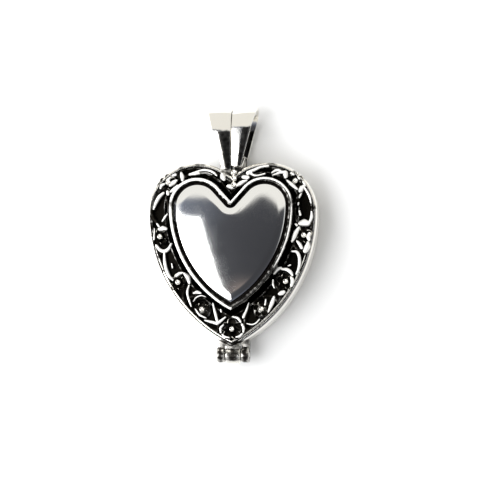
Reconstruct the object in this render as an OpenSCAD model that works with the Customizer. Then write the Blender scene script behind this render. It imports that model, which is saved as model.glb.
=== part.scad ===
// Keepsake urn pendant: a hollow heart locket, lying on its flat back with its face up.
// X runs across the heart, +Y towards the bail, +Z out of the face. Millimetres.

/* [Heart body] */
// Width over the two lobes
heart_w = 21.4; // [20:0.2:24]
// Height of the cleft above the line through the lobes' centres
cleft_h = 4.65; // [3.6:0.05:5]
// Radius of the lobes, as a share of that of lobes round all the way into the cleft
lobe_share = 0.99; // [0.9:0.01:0.99]
// Radius of the long sides that run down to the tip
side_r = 18.5; // [16.5:0.1:22]
// Height of the back shell, up to the seam
back_h = 2.5; // [2.2:0.1:3.5]
// Thickness of the side walls
wall_t = 0.7; // [0.5:0.05:0.9]
// Thickness of the flat back
floor_t = 0.7; // [0.5:0.05:0.9]
// Rounding of the back edge
back_edge_r = 0.9; // [0.3:0.1:1.2]
// Gap between the two halves along the seam
seam_gap = 0.06; // [0.04:0.01:0.12]

/* [Front cover] */
// Height of the cover's rim above the seam
rim_h = 1.85; // [1.5:0.05:2.4]
// Width of the rim round the border
rim_w = 0.45; // [0.4:0.05:0.6]
// Rounding of the rim's outer edge
rim_edge_r = 0.4; // [0.2:0.05:0.4]
// Depth of the dark ground below the rim
ground_drop = 0.8; // [0.6:0.05:1]
// Thickness of the cover's ground
ground_t = 0.7; // [0.5:0.05:0.8]

/* [Heart plate] */
// Width over the ridge round the plate
plate_w = 15.4; // [13.6:0.1:15.6]
// Height of the plate's cleft above the line through its lobes' centres
plate_cleft_h = 0.5; // [0.3:0.05:1.4]
// Radius of the plate's lobes, as a share of that of lobes round all the way into the cleft
plate_lobe_share = 0.9; // [0.85:0.01:0.98]
// Radius of the plate's long sides
plate_side_r = 14.75; // [12.5:0.05:15.5]
// How far the plate's lobes sit above the body's
plate_up = 0.8; // [0.2:0.1:1]
// Height of the ridge above the rim
ridge_h = 1.2; // [0.8:0.05:1.5]
// Width of the ridge's flat top
ridge_w = 0.5; // [0.4:0.05:0.7]
// How far the foot of the ridge stands out
ridge_slope = 0.55; // [0.3:0.05:0.6]
// Width of the groove inside the ridge
groove_w = 0.35; // [0.25:0.05:0.5]
// Depth of the groove below the plate's edge
groove_d = 0.35; // [0.2:0.05:0.4]
// Rise of the domed plate from edge to middle
plate_rise = 0.55; // [0.3:0.05:0.8]
// Drop of the plate's lowest edge below the ridge
plate_drop = 0.15; // [0.1:0.05:0.3]
// Thickness of the plate
plate_t = 0.6; // [0.4:0.05:0.8]
// Width of the ledge that the plate sits on
ledge_w = 0.5; // [0.4:0.05:0.8]
// Gap round the plate in its seat
plate_gap = 0.05; // [0.03:0.01:0.08]

/* [Filigree border] */
// Gap round the filigree frame
frame_gap = 0.06; // [0.04:0.01:0.1]
// Height of the stems above the ground
stem_h = 0.8; // [0.6:0.05:1]
// Width of a stem
stem_w = 0.42; // [0.3:0.02:0.5]
// Width of the rails along both edges
rail_w = 0.26; // [0.2:0.02:0.34]
// Radius of a blossom over its petals
blossom_r = 1.1; // [0.9:0.02:1.2]
// Height of a blossom's petals above the ground
blossom_h = 1.0; // [0.7:0.05:1.2]
// Radius of the bead in a blossom
bead_r = 0.36; // [0.25:0.01:0.45]
// Radius of the beads in the cleft
cleft_bead_r = 0.42; // [0.3:0.02:0.5]

/* [Bail] */
// Width of each loop at its top
loop_top_w = 3.1; // [2.5:0.1:3.6]
// Width of each loop at its foot
loop_foot_w = 1.4; // [1.1:0.1:1.8]
// Length of a loop, outside
loop_l = 6.6; // [6:0.1:8]
// Depth of a loop from front to back, outside
loop_depth = 5.1; // [4.8:0.1:5.4]
// Thickness of the strip that a loop is bent from
loop_t = 0.45; // [0.35:0.05:0.5]
// Gap between the two loops
loop_gap = 0.12; // [0.1:0.02:0.2]
// Distance from the heart's cleft to the bottom of the loops
loop_reach = 2.2; // [2:0.05:2.8]

/* [Hinge] */
// Diameter of the knuckles
knuckle_d = 1.94; // [1.7:0.02:2.2]
// Length of the middle knuckle
knuckle_mid_l = 1.9; // [1.5:0.1:2.4]
// Length of each outer knuckle
knuckle_end_l = 1.0; // [0.8:0.1:1.4]
// How far the knuckles reach in under the heart's tip
knuckle_in = 0.16; // [0.1:0.02:0.3]
// Gap beside and round the middle knuckle
knuckle_gap = 0.08; // [0.05:0.01:0.12]
// Diameter of the hinge pin
pin_d = 0.8; // [0.6:0.05:1]
// Running clearance round the pin
pin_fit = 0.03; // [0.02:0.01:0.06]

/* [Hidden] */
$fn = 96;
cut = 1;

// Heights of the seam, the rim, the ground and the ridge
cover_z = back_h + seam_gap;
rim_z = cover_z + rim_h;
ground_z = rim_z - ground_drop;
ridge_z = rim_z + ridge_h;

// The plate lies on a ledge, a groove's depth and its own edge below the ridge
plate_edge_z = ridge_z - plate_drop;
groove_z = plate_edge_z - groove_d;
ledge_z = groove_z - plate_t;

// The dome's top is this share of the plate's width below the line through its lobes
dome_share = 0.23;

// A heart is [width, lobe radius, side radius, height of the line through its lobes, of its cleft above it]
function lobe_r(w, cleft, share) = share * (cleft * cleft + w * w / 4) / w;
BODY = [heart_w, lobe_r(heart_w, cleft_h, lobe_share), side_r, 0, cleft_h];
PLATE = [plate_w, lobe_r(plate_w, plate_cleft_h, plate_lobe_share), plate_side_r, plate_up, plate_cleft_h];

// The straight runs into the cleft lie at this share of the lobe's radius, and the round at the foot of the
// cleft has this share of the inset, so that both cross what they meet
run_share = 0.995;
nick_share = 1.02;

// Outlines: a lobe runs up to the turn where a straight run leaves it for the cleft, and the sides meet in the tip
function lobe_x(h) = h[0] / 2 - h[1];
function side_x(h) = h[2] - h[0] / 2;
function cleft_y(h) = h[3] + h[4];
function run_r(h) = run_share * h[1];
function run_turn(h) = atan2(h[4], -lobe_x(h)) - acos(run_r(h) / norm([lobe_x(h), h[4]]));
function tip_y(h) = h[3] - sqrt(pow(h[2], 2) - pow(side_x(h), 2));
function side_y(h, x) = h[3] - sqrt(pow(h[2], 2) - pow(side_x(h) + x, 2));

// Places of the bail and the hinge
knuckle_r = knuckle_d / 2;
hinge_y = tip_y(BODY) + knuckle_in - knuckle_r;
hinge_z = back_h + seam_gap / 2;
barrel_l = knuckle_mid_l + 2 * (knuckle_gap + knuckle_end_l);
loop_y0 = cleft_y(BODY) + loop_reach;
loop_y1 = loop_y0 + loop_l;
loop_z = loop_depth / 2;
foot_y = cleft_y(BODY) + 0.2 * loop_reach;
web_y = cleft_y(BODY) + 0.28 * loop_reach;

// The origin is under the middle of the whole pendant, from the hinge to the bail
shift_y = -(loop_y1 + hinge_y - knuckle_r) / 2;

// The gusset between the lobes, up to the two straight runs into the cleft, set in by a distance
module gusset(h, inset) {
    way = [cos(run_turn(h)), sin(run_turn(h))];
    cleft = [0, cleft_y(h)];
    touch = [lobe_x(h), h[3]] + (run_r(h) - inset) * way;
    runs = inset > 0 ? [cleft - inset * way, cleft] : [cleft - [0, inset / way[1]]];
    right = concat([[lobe_x(h), h[3] - h[1] / 2], touch], runs);
    polygon(concat(right, [for (k = [len(right) - 2 : -1 : 0]) [-right[k][0], right[k][1]]]));
}

// A heart as a flat outline, set in by a distance: two lobes, the gusset below the cleft, two sides
module heart(h, inset = 0) {
    difference() {
        union() {
            for (side = [-1, 1]) intersection() {
                translate([side * lobe_x(h), h[3]]) circle(r = h[1] - inset);
                translate([-h[0], h[3]]) square([2 * h[0], h[0]]);
            }
            gusset(h, inset);
            intersection() {
                translate([-side_x(h), h[3]]) circle(r = h[2] - inset);
                translate([side_x(h), h[3]]) circle(r = h[2] - inset);
                translate([-h[0], h[3] - 2 * h[2]]) square([2 * h[0], 2 * h[2]]);
            }
        }
        if (inset > 0) translate([0, cleft_y(h)]) circle(r = nick_share * inset);
    }
}

// A straight-sided heart between two heights
module heart_block(h, inset, z0, z1) {
    translate([0, 0, z0]) linear_extrude(z1 - z0) heart(h, inset);
}

// A heart whose edge has the profile that its child draws, out to the radius $edge
module heart_turned(h) {
    for (side = [0, 1]) mirror([side, 0, 0]) translate([lobe_x(h), h[3], 0]) {
        rotate_extrude(angle = 180) let ($edge = h[1]) children();
        rotate([0, 0, run_turn(h)]) translate([0, lobe_x(h), 0]) rotate([90, 0, 0])
            linear_extrude(lobe_x(h)) let ($edge = run_r(h)) children();
    }
    intersection_for (side = [-1, 1]) translate([side * side_x(h), h[3], 0])
        rotate([0, 0, 180]) rotate_extrude(angle = 180) let ($edge = h[2]) children();
}

// Edge profile with a round of radius r at the bottom
module foot_profile(z0, z1, r) {
    translate([0, z0]) square([$edge - r, z1 - z0]);
    translate([0, z0 + r]) square([$edge, z1 - z0 - r]);
    translate([$edge - r, z0 + r]) circle(r = r);
}

// Edge profile with a round of radius r at the top
module crest_profile(z0, z1, r) {
    translate([0, z0]) square([$edge - r, z1 - z0]);
    translate([0, z0]) square([$edge, z1 - z0 - r]);
    translate([$edge - r, z1 - r]) circle(r = r);
}

// The ridge's profile: it leans in from its foot to its flat top
module ridge_profile(z0, z1) {
    polygon([[0, z0], [$edge + ridge_slope, z0], [$edge, z1], [0, z1]]);
}

// The web that fills the cleft of one half, which the bail is soldered to
module cleft_web(z0, z1) {
    y0 = cleft_y(BODY) - wall_t / 2;
    foot_x = loop_gap / 2 + loop_foot_w;
    top_x = foot_x - loop_t / 2;
    translate([0, 0, z0]) linear_extrude(z1 - z0)
        polygon([[-foot_x, y0], [foot_x, y0], [top_x, web_y], [-top_x, web_y]]);
}

// Outline of a loop seen from the side, as a band between two distances from its outer face
module loop_side(inset) {
    r = loop_depth / 2 - inset;
    translate([loop_y0 + inset, loop_z - r]) square([loop_l - inset - loop_depth / 2, 2 * r]);
    translate([loop_y1 - loop_depth / 2, loop_z]) circle(r = r);
}

// One loop of the bail: a strip bent round to a closed loop, wide at the top, with its foot
module bail_loop(foot_z0, foot_z1) {
    x0 = loop_gap / 2;
    intersection() {
        rotate([90, 0, 90]) linear_extrude(x0 + loop_top_w) difference() {
            loop_side(0);
            loop_side(loop_t);
        }
        linear_extrude(2 * loop_depth, center = true)
            polygon([[x0, loop_y0], [x0 + loop_foot_w, loop_y0], [x0 + loop_top_w, loop_y1], [x0, loop_y1]]);
    }
    translate([x0, foot_y, foot_z0]) cube([loop_foot_w, loop_y0 + loop_t - foot_y, foot_z1 - foot_z0]);
}

// A cylinder along X round the hinge's axis, between two places
module hinge_round(r, x0, x1) {
    translate([x0, hinge_y, hinge_z]) rotate([0, 90, 0]) cylinder(r = r, h = x1 - x0);
}

// Back half: a flat-backed pan with two hinge knuckles and one loop of the bail
module back_shell() {
    color([0.78, 0.77, 0.74]) translate([0, shift_y, 0]) difference() {
        union() {
            heart_turned(BODY) foot_profile(0, back_h, back_edge_r);
            cleft_web(floor_t, back_h);
            bail_loop(loop_t, back_h - seam_gap);
            for (side = [-1, 1]) outer_knuckle(side);
        }
        heart_block(BODY, wall_t, floor_t, back_h + cut);
        hinge_round(knuckle_r + knuckle_gap, -knuckle_mid_l / 2 - knuckle_gap, knuckle_mid_l / 2 + knuckle_gap);
        hinge_round(pin_d / 2 + pin_fit, -heart_w / 2, heart_w / 2);
    }
}

// An outer knuckle with the leaf that joins it to the back shell's wall, below the seam
module outer_knuckle(side) {
    x0 = knuckle_mid_l / 2 + knuckle_gap;
    leaf_y = side_y(BODY, x0 + knuckle_end_l) + wall_t / 2;
    hinge_round(knuckle_r, side > 0 ? x0 : -x0 - knuckle_end_l, side > 0 ? x0 + knuckle_end_l : -x0);
    translate([side > 0 ? x0 : -x0 - knuckle_end_l, hinge_y, hinge_z - knuckle_r])
        cube([knuckle_end_l, leaf_y - hinge_y, back_h - hinge_z + knuckle_r]);
}

// The middle knuckle with the leaf that joins it to the cover's rim, above the seam
module middle_knuckle() {
    leaf_y = tip_y(BODY) + wall_t / 2;
    hinge_round(knuckle_r, -knuckle_mid_l / 2, knuckle_mid_l / 2);
    translate([-knuckle_mid_l / 2, hinge_y, cover_z])
        cube([knuckle_mid_l, leaf_y - hinge_y, hinge_z + knuckle_r - cover_z]);
}

// Front half: rim, dark ground, the ridge that holds the plate, a knuckle and one loop of the bail
module front_cover() {
    color([0.62, 0.61, 0.59]) translate([0, shift_y, 0]) difference() {
        union() {
            difference() {
                union() {
                    heart_turned(BODY) crest_profile(cover_z, rim_z, rim_edge_r);
                    cleft_web(cover_z, rim_z - rim_edge_r);
                }
                heart_block(BODY, rim_w, ground_z, rim_z + cut);
                heart_block(BODY, wall_t, cover_z - cut, ground_z - ground_t);
            }
            heart_turned(PLATE) ridge_profile(ground_z - ground_t, ridge_z);
            mirror([1, 0, 0]) bail_loop(cover_z + seam_gap, loop_depth);
            cleft_beads();
            middle_knuckle();
        }
        heart_block(PLATE, ridge_w, ledge_z, ridge_z + cut);
        heart_block(PLATE, ridge_w + ledge_w, cover_z - cut, ledge_z + cut);
        outer_clearance();
        hinge_round(pin_d / 2 + pin_fit, -heart_w / 2, heart_w / 2);
    }
}

// Room in the cover round the back shell's knuckles
module outer_clearance() {
    x0 = knuckle_mid_l / 2;
    for (side = [-1, 1])
        hinge_round(knuckle_r + knuckle_gap, side > 0 ? x0 : -heart_w / 2, side > 0 ? heart_w / 2 : -x0);
}

// The row of beads in the cleft, at the foot of the bail and a little to its right
function bead_at(row) = [0.7 * cleft_bead_r, web_y - (0.5 + 1.9 * row) * cleft_bead_r];
module cleft_beads() {
    for (row = [0 : 2]) translate([bead_at(row)[0], bead_at(row)[1], rim_z + cleft_bead_r / 4])
        sphere(r = cleft_bead_r);
}

// The domed, polished plate, with a step round its edge that makes the groove
module heart_plate() {
    dome_y = plate_up - plate_w * dome_share;
    reach = norm([lobe_x(PLATE), plate_up - dome_y]) + PLATE[1] - ridge_w - groove_w;
    dome_r = (pow(reach, 2) + pow(plate_rise, 2)) / (2 * plate_rise);
    dome_z = plate_edge_z + plate_rise - dome_r;
    color([0.85, 0.85, 0.84]) translate([0, shift_y, 0]) difference() {
        union() {
            heart_block(PLATE, ridge_w + plate_gap, ledge_z + plate_gap / 2, groove_z);
            intersection() {
                heart_block(PLATE, ridge_w + groove_w, groove_z - plate_t / 2, ridge_z + plate_rise);
                translate([0, dome_y, dome_z]) sphere(r = dome_r);
            }
        }
        intersection() {
            heart_block(PLATE, ridge_w + ledge_w + plate_gap, ledge_z - cut, ridge_z + plate_rise);
            translate([0, dome_y, dome_z]) sphere(r = dome_r - plate_t);
        }
    }
}

// The hinge pin, through all three knuckles
module hinge_pin() {
    color([0.7, 0.7, 0.68]) translate([0, shift_y, 0]) hinge_round(pin_d / 2, -barrel_l / 2, barrel_l / 2);
}

// The frame lies just clear of the ground, a petal's radius is a share of its blossom's,
// and stems run past the border's two edges by this share of its width, to end in the rails
foot_z = ground_z + frame_gap / 3;
petal_share = 0.4;
past_share = 0.08;

// Border points lie on rays from a point on the axis: t = 0 at the ridge's foot, 1 at the outline
CENTRE = [0, -0.11 * heart_w];
function ray_circle(dir, q, r) = let (v = q - CENTRE, b = v * dir) b + sqrt(b * b - v * v + r * r);
function ray_heart(dir, h, inset) = let (
    lobe = ray_circle(dir, [lobe_x(h), h[3]], h[1] - inset),
    side = ray_circle(dir, [-side_x(h), h[3]], h[2] - inset)
) CENTRE[1] + lobe * dir[1] >= h[3] ? lobe : side;
function border(turn, t) = let (
    dir = [sin(turn), cos(turn)],
    inner = ray_heart(dir, PLATE, -ridge_slope - frame_gap),
    outer = ray_heart(dir, BODY, rim_w + frame_gap)
) CENTRE + dir * (inner + (outer - inner) * t);

// A flat stem bent to an arc from p to q, whose height is a signed share of its length
module stem(p, q, bow, w) {
    chord = norm(q - p);
    rise = abs(bow) * chord;
    r = (chord * chord / 4 + rise * rise) / (2 * rise);
    across = [p[1] - q[1], q[0] - p[0]] / chord * sign(bow);
    centre = (p + q) / 2 + across * (r - rise);
    first = bow > 0 ? p : q;
    start = atan2(first[1] - centre[1], first[0] - centre[0]);
    sweep = 2 * asin(chord / 2 / r);
    translate(centre) intersection() {
        difference() {
            circle(r = r + w / 2);
            circle(r = r - w / 2);
        }
        polygon([[0, 0], for (u = [0, 0.5, 1]) 2 * r * [cos(start + u * sweep), sin(start + u * sweep)]]);
    }
    for (end = [p, q]) translate(end) circle(r = w / 2);
}

// A rail that follows one edge of the border
module rail(h, inset) {
    difference() {
        heart(h, inset);
        heart(h, inset + rail_w);
    }
}

// The border between the middles of its two rails, as a flat outline
module border_room() {
    difference() {
        heart(BODY, rim_w + frame_gap + rail_w / 2);
        heart(PLATE, -ridge_slope - frame_gap - rail_w / 2);
    }
}

// A blossom: five petals about a bead, cut off where they would reach past the border
module blossom(p, r, h) {
    petal_r = r * petal_share;
    translate([0, 0, foot_z]) linear_extrude(h) intersection() {
        translate(p) {
            for (turn = [18 : 72 : 306])
                translate((r - petal_r) * [cos(turn), sin(turn)]) circle(r = petal_r);
            circle(r = r - petal_r);
        }
        border_room();
    }
    translate([p[0], p[1], foot_z + h - bead_r / 4]) sphere(r = bead_r);
}

// Blossoms of the right half as [turn from the cleft, place across the border, size, height]
BLOSSOMS = [
    [52, 0.6, 1, 1],
    [93.5, 0.55, 1, 1],
    [133, 0.55, 1, 1],
    [159, 0.5, 0.9, 0.9]
];
// Stems of the right half as [turn, place across, turn, place across, bow as a share of the length]
STEMS = [
    [13, 0, 19, 1, 0.12],
    [20, 0, 44, 0.55, 0.2],
    [44, 0.9, 36, 0.05, -0.2],
    [56, 0.5, 66, 1, -0.15],
    [62, 0, 91, 0.5, 0.15],
    [86, 0, 78, 1, 0.12],
    [102, 0, 106, 1, 0.15],
    [106, 1, 130, 0.55, -0.18],
    [141, 0.1, 147, 1, -0.2],
    [147, 0.9, 153, 0.1, 0.2],
    [155, 1, 163, 0, 0.12],
    [167, 0, 172, 1, 0.1],
    [168, 1, 177, 0.5, -0.15]
];
function place(turn, across) = border(turn, (1 + 2 * past_share) * across - past_share);

// The two rails and the stems between them, as a flat outline
module fretwork() {
    rail(BODY, rim_w + frame_gap);
    intersection() {
        rail(PLATE, -ridge_slope - frame_gap - rail_w);
        heart(BODY, rim_w + frame_gap + rail_w / 2);
    }
    for (side = [0, 1]) mirror([side, 0]) intersection() {
        for (row = STEMS) stem(place(row[0], row[1]), place(row[2], row[3]), row[4], stem_w);
        border_room();
    }
}

// Pierced filigree frame of rails, stems and blossoms, lying on the ground between rim and ridge
module filigree() {
    color([0.72, 0.71, 0.68]) translate([0, shift_y, 0]) {
        translate([0, 0, foot_z]) linear_extrude(stem_h) difference() {
            fretwork();
            for (row = [0 : 2]) translate(bead_at(row)) circle(r = cleft_bead_r + frame_gap);
        }
        for (side = [0, 1]) mirror([side, 0, 0]) for (row = BLOSSOMS)
            blossom(border(row[0], row[1]), blossom_r * row[2], blossom_h * row[3]);
        blossom(border(180, 0.5), blossom_r * 0.85, blossom_h);
    }
}

back_shell();
front_cover();
heart_plate();
filigree();
hinge_pin();
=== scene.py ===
import bmesh
import bpy
import numpy as np
from mathutils import Matrix, Vector


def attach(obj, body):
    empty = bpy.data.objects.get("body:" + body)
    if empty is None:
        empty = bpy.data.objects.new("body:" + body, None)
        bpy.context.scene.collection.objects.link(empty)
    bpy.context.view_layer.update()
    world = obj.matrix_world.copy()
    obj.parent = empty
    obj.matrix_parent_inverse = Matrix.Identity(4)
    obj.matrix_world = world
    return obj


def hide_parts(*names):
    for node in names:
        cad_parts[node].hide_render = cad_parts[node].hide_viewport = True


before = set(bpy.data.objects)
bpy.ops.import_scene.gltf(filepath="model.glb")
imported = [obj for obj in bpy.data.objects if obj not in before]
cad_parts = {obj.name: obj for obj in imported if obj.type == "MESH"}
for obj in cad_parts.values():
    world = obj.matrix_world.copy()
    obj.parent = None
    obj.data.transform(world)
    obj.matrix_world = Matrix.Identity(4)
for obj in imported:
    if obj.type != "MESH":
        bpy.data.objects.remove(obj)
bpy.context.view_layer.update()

# ---- Table top, light and camera ----
# The pendant lies face up on a white card. A large soft light hangs on the left, a second one stands
# in the far left corner. The far wall and the right one are bright, and the ceiling is dark above
# and to the right, which is what the polished plate mirrors.
MM = 0.001
TABLE_HALF, TABLE_Z = 900 * MM, -0.02 * MM
table_mesh = bpy.data.meshes.new("table_top")
table_mesh.from_pydata(
    [(x * TABLE_HALF, y * TABLE_HALF, TABLE_Z) for x, y in ((-1, -1), (1, -1), (1, 1), (-1, 1))],
    [], [(0, 1, 2, 3)])
table_top = bpy.data.objects.new("table_top", table_mesh)
bpy.context.scene.collection.objects.link(table_top)
card = bpy.data.materials.new("white card")
card.use_nodes = True
card_shader = card.node_tree.nodes["Principled BSDF"]
card_shader.inputs["Base Color"].default_value = (0.9, 0.905, 0.91, 1)
card_shader.inputs["Roughness"].default_value = 0.7
card_shader.inputs["Specular IOR Level"].default_value = 0.1
table_mesh.materials.append(card)

# The left light's near edges are seen from the plate as two lines that meet in a corner: one runs
# from there towards the hinge, the other to the left. Radiance times pi and area gives its power
LIGHT_OFF, LIGHT_W, LIGHT_H, LIGHT_RADIANCE = 0.4, 0.30, 0.31, 4.6
TO_CORNER, TO_HINGE, TO_LEFT = (-0.272, 0.168, 0.948), (-0.178, -0.164, 0.970), (-0.7, 0.168, 0.694)
LIGHT_RISE = 5 * MM
corner, down, left = (Vector(way).normalized() for way in (TO_CORNER, TO_HINGE, TO_LEFT))
light_middle = (corner + down + left).normalized()
long_edge = corner.cross(left).cross(light_middle).normalized()
short_edge = long_edge.cross(corner.cross(down)).normalized()
long_edge *= 1 if long_edge.dot(left) > long_edge.dot(corner) else -1
short_edge *= 1 if short_edge.dot(down) > short_edge.dot(corner) else -1
facing = long_edge.cross(short_edge)
axes = (long_edge, short_edge, facing)
if facing.dot(light_middle) < 0:
    axes = (long_edge, -short_edge, -facing)
lamp = bpy.data.lights.new("left_light", "AREA")
lamp.shape = "RECTANGLE"
lamp.size, lamp.size_y = LIGHT_W, LIGHT_H
lamp.energy = LIGHT_RADIANCE * np.pi * LIGHT_W * LIGHT_H
left_light = bpy.data.objects.new("left_light", lamp)
light_place = corner * LIGHT_OFF + long_edge * LIGHT_W / 2 + short_edge * LIGHT_H / 2
light_place += Vector((0, 0, LIGHT_RISE))
left_light.matrix_world = Matrix.Translation(light_place) @ Matrix(axes).transposed().to_4x4()
bpy.context.scene.collection.objects.link(left_light)


def aimed(direction, up, distance, target):
    """Place and turning of something that looks back at the target from a direction, with its top
    towards up: its three axes are that direction and two cross products with it."""
    back = Vector(direction).normalized()
    right = Vector(up).cross(back).normalized()
    turn = Matrix((right, back.cross(right), back)).transposed().to_4x4()
    return Matrix.Translation(Vector(target) + back * distance) @ turn


# The second light throws the shadow to the near right. The metal doesn't mirror it
FAR_SIZE, FAR_WATTS, FAR_FROM, FAR_OFF = 0.35, 1.3, (-0.66, 0.6, 0.46), 0.5
far_lamp = bpy.data.lights.new("far_light", "AREA")
far_lamp.size = FAR_SIZE
far_lamp.energy = FAR_WATTS
far_light = bpy.data.objects.new("far_light", far_lamp)
far_light.matrix_world = aimed(FAR_FROM, (0, 0, 1), FAR_OFF, (0, 0, 0))
far_light.visible_glossy = False
bpy.context.scene.collection.objects.link(far_light)


def maths(tree, operation, *values):
    """One step of arithmetic on sockets or numbers, in a node tree."""
    node = tree.nodes.new("ShaderNodeMath")
    node.operation = operation
    for socket, value in zip(node.inputs, values):
        if isinstance(value, (int, float)):
            socket.default_value = value
        else:
            tree.links.new(value, socket)
    return node.outputs[0]


def past(tree, value, blur):
    """0 below nothing and 1 above, with an S-shaped passage as wide as the blur on either side."""
    node = tree.nodes.new("ShaderNodeMapRange")
    node.interpolation_type = "SMOOTHSTEP"
    node.inputs["From Min"].default_value = -blur
    node.inputs["From Max"].default_value = blur
    tree.links.new(value, node.inputs["Value"])
    return node.outputs["Result"]


def bell(tree, *spots):
    """A bell curve round a spot: e to the power of minus the sum of the squares of the offsets. Each
    offset is a value less its middle, over its width."""
    total = 0.0
    for value, middle, width in spots:
        off = maths(tree, "DIVIDE", maths(tree, "SUBTRACT", value, middle), width)
        total = maths(tree, "ADD", total, maths(tree, "MULTIPLY", off, off))
    return maths(tree, "EXPONENT", maths(tree, "MULTIPLY", total, -1.0))


def over(tree, share, under, colour, kind="MIX"):
    """A colour laid over another by a share, mixed with it or multiplied by it."""
    node = tree.nodes.new("ShaderNodeMix")
    node.data_type = "RGBA"
    node.blend_type = kind
    node.inputs["B"].default_value = (*colour, 1)
    tree.links.new(share, node.inputs["Factor"])
    tree.links.new(under, node.inputs["A"])
    return node.outputs["Result"]


world = bpy.data.worlds.new("room")
bpy.context.scene.world = world
world.use_nodes = True
room = world.node_tree
towards = room.nodes.new("ShaderNodeTexCoord").outputs["Generated"]
split = room.nodes.new("ShaderNodeSeparateXYZ")
room.links.new(towards, split.inputs[0])
to_x, to_y, _ = split.outputs

# The ceiling darkens towards a direction a little to the right of straight above: its colour at
# some cosines of the angle from there
CEILING_FROM = (0.24, -0.06, 0.97)
CEILING = [(0.5, (0.9, 0.9, 0.9)), (0.66, (0.5, 0.52, 0.57)), (0.78, (0.19, 0.21, 0.26)),
           (0.9, (0.066, 0.068, 0.078)), (1.0, (0.045, 0.046, 0.051))]
fall = room.nodes.new("ShaderNodeVectorMath")
fall.operation = "DOT_PRODUCT"
fall.inputs[1].default_value = Vector(CEILING_FROM).normalized()
room.links.new(towards, fall.inputs[0])
ceiling = room.nodes.new("ShaderNodeValToRGB")
room.links.new(fall.outputs["Value"], ceiling.inputs["Fac"])
stops = ceiling.color_ramp.elements
stops[0].position, stops[1].position = CEILING[0][0], CEILING[-1][0]
for cosine, _ in CEILING[1:-1]:
    stops.new(cosine)
for stop, (_, colour) in zip(stops, CEILING):
    stop.color = (*colour, 1)

# A pale, warm patch hangs high over the tip: its middle and width along X and along Y. The right
# wall is pale, and beyond the tip the room is dimmer
WARM, WARM_X, WARM_Y = (0.24, 0.2, 0.185), (-0.08, 0.06), (-0.165, 0.045)
RIGHT_WALL, RIGHT_FROM, RIGHT_BLUR = (0.85, 0.85, 0.83), 0.62, 0.06
DIM, DIM_FROM, DIM_BLUR = (0.75, 0.75, 0.75), -0.45, 0.25
seen = over(room, bell(room, (to_x, *WARM_X), (to_y, *WARM_Y)), ceiling.outputs["Color"], WARM)
on_right = past(room, maths(room, "SUBTRACT", to_x, RIGHT_FROM), RIGHT_BLUR)
beyond_tip = past(room, maths(room, "SUBTRACT", DIM_FROM, to_y), DIM_BLUR)
seen = over(room, on_right, seen, RIGHT_WALL)
seen = over(room, beyond_tip, seen, DIM, "MULTIPLY")

# The far wall starts at a height, with a soft round bulge of darkness in it (its middle and width
# along X, and its height), and higher on the left
FAR_WALL, WALL_FROM, WALL_BLUR = (0.88, 0.865, 0.82), 0.19, 0.012
BULGE, BULGE_H = (0.015, 0.07), 0.068
LEFT_FROM, LEFT_BLUR, LEFT_H = -0.12, 0.03, 0.062
bulge = maths(room, "MULTIPLY", bell(room, (to_x, *BULGE)), BULGE_H)
left_rise = past(room, maths(room, "SUBTRACT", LEFT_FROM, to_x), LEFT_BLUR)
wall_foot = maths(room, "ADD", bulge, maths(room, "MULTIPLY", left_rise, LEFT_H))
above = maths(room, "SUBTRACT", maths(room, "SUBTRACT", to_y, WALL_FROM), wall_foot)
seen = over(room, past(room, above, WALL_BLUR), seen, FAR_WALL)
room.links.new(seen, room.nodes["Background"].inputs["Color"])
bpy.context.scene.view_settings.view_transform = "Standard"

# The camera looks from about 9 degrees off straight above, to the right and a little towards the tip
VIEW_FROM = (0.1228, -0.0875, 1.0)
AIM = (2.08 * MM, -1.96 * MM, 2.55 * MM)
CAMERA_OFF, FIELD_W = 320 * MM, 62.5 * MM
camera = bpy.data.objects.new("camera", bpy.data.cameras.new("camera"))
camera.data.lens = camera.data.sensor_width * CAMERA_OFF / FIELD_W
camera.data.clip_start = 10 * MM
camera.matrix_world = aimed(VIEW_FROM, (0, 1, 0), CAMERA_OFF, AIM)
bpy.context.scene.collection.objects.link(camera)
bpy.context.scene.camera = camera

# ---- Back pan ----
# The flat-backed half of the locket, pressed and soldered from brass sheet and silver plated. Its edge
# is rounded where it lies on the table, and its lip meets the cover along a hair-thin seam.
# Sizes are in millimetres. The heart's own centre lies SHIFT_Y beyond the frame's, a heart is given
# as heart_ring reads it, and CENTRE is about the middle of its surface
SHIFT_Y = 2.55265
BODY = (21.4, 6.29679, 18.5, 0.0, 4.65)
CENTRE_LOW = 0.11
CENTRE = np.array([0.0, -CENTRE_LOW * BODY[0]])
BACK_H, WALL_T, FLOOR_T = 2.5, 0.7, 0.7
CLEFT_STEPS, RUN_STEPS, LOBE_STEPS, SIDE_STEPS = 8, 10, 60, 72
# Points closer than the first merge, and edges sharper than the second, in degrees, stay crisp
DOUBLE, SHARP = 0.0005, 38


def arc(centre, r, first, last, steps, endpoint=False):
    """Points of an arc about a centre, from a first angle to a last one."""
    a = np.linspace(first, last, steps, endpoint=endpoint)[:, None]
    return np.asarray(centre) + r * np.concatenate([np.cos(a), np.sin(a)], 1)


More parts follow.
